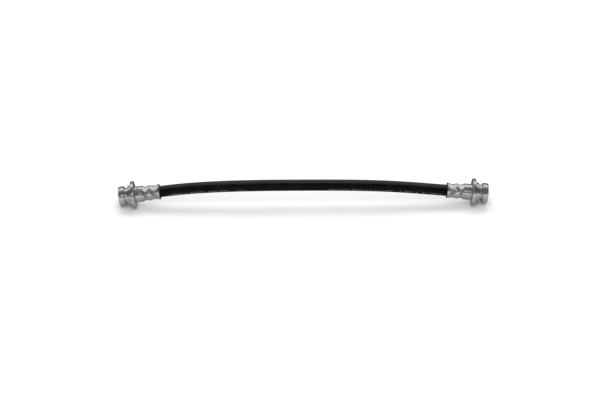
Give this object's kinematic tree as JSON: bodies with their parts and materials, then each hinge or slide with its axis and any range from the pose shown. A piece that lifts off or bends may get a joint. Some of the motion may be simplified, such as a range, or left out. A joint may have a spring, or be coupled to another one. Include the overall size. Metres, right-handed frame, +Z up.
{
  "type": "brake hose",
  "caption": "Black rubber brake hose in a shallow arch, with a crimped steel female fitting, clip groove and round flange on each end.",
  "frame": {"origin": "on the surface that the flanges stand on, below the middle of the two fittings", "axes": "+X along the hose from the left fitting to the right one, +Z up, -Y towards the viewer"},
  "size_m": [0.3412, 0.0252, 0.0264],
  "materials": {
    "black_rubber": "satin black moulded cover with a faint bloom",
    "plated_steel": "dull grey zinc plating with tool marks and small stains",
    "insert_steel": "plain drawn steel tube"
  },
  "bodies": {
    "root": {"rubber_hose": "black_rubber", "left_fitting": "plated_steel", "right_fitting": "plated_steel", "left_insert": "insert_steel", "right_insert": "insert_steel"}
  },
  "joints": []
}
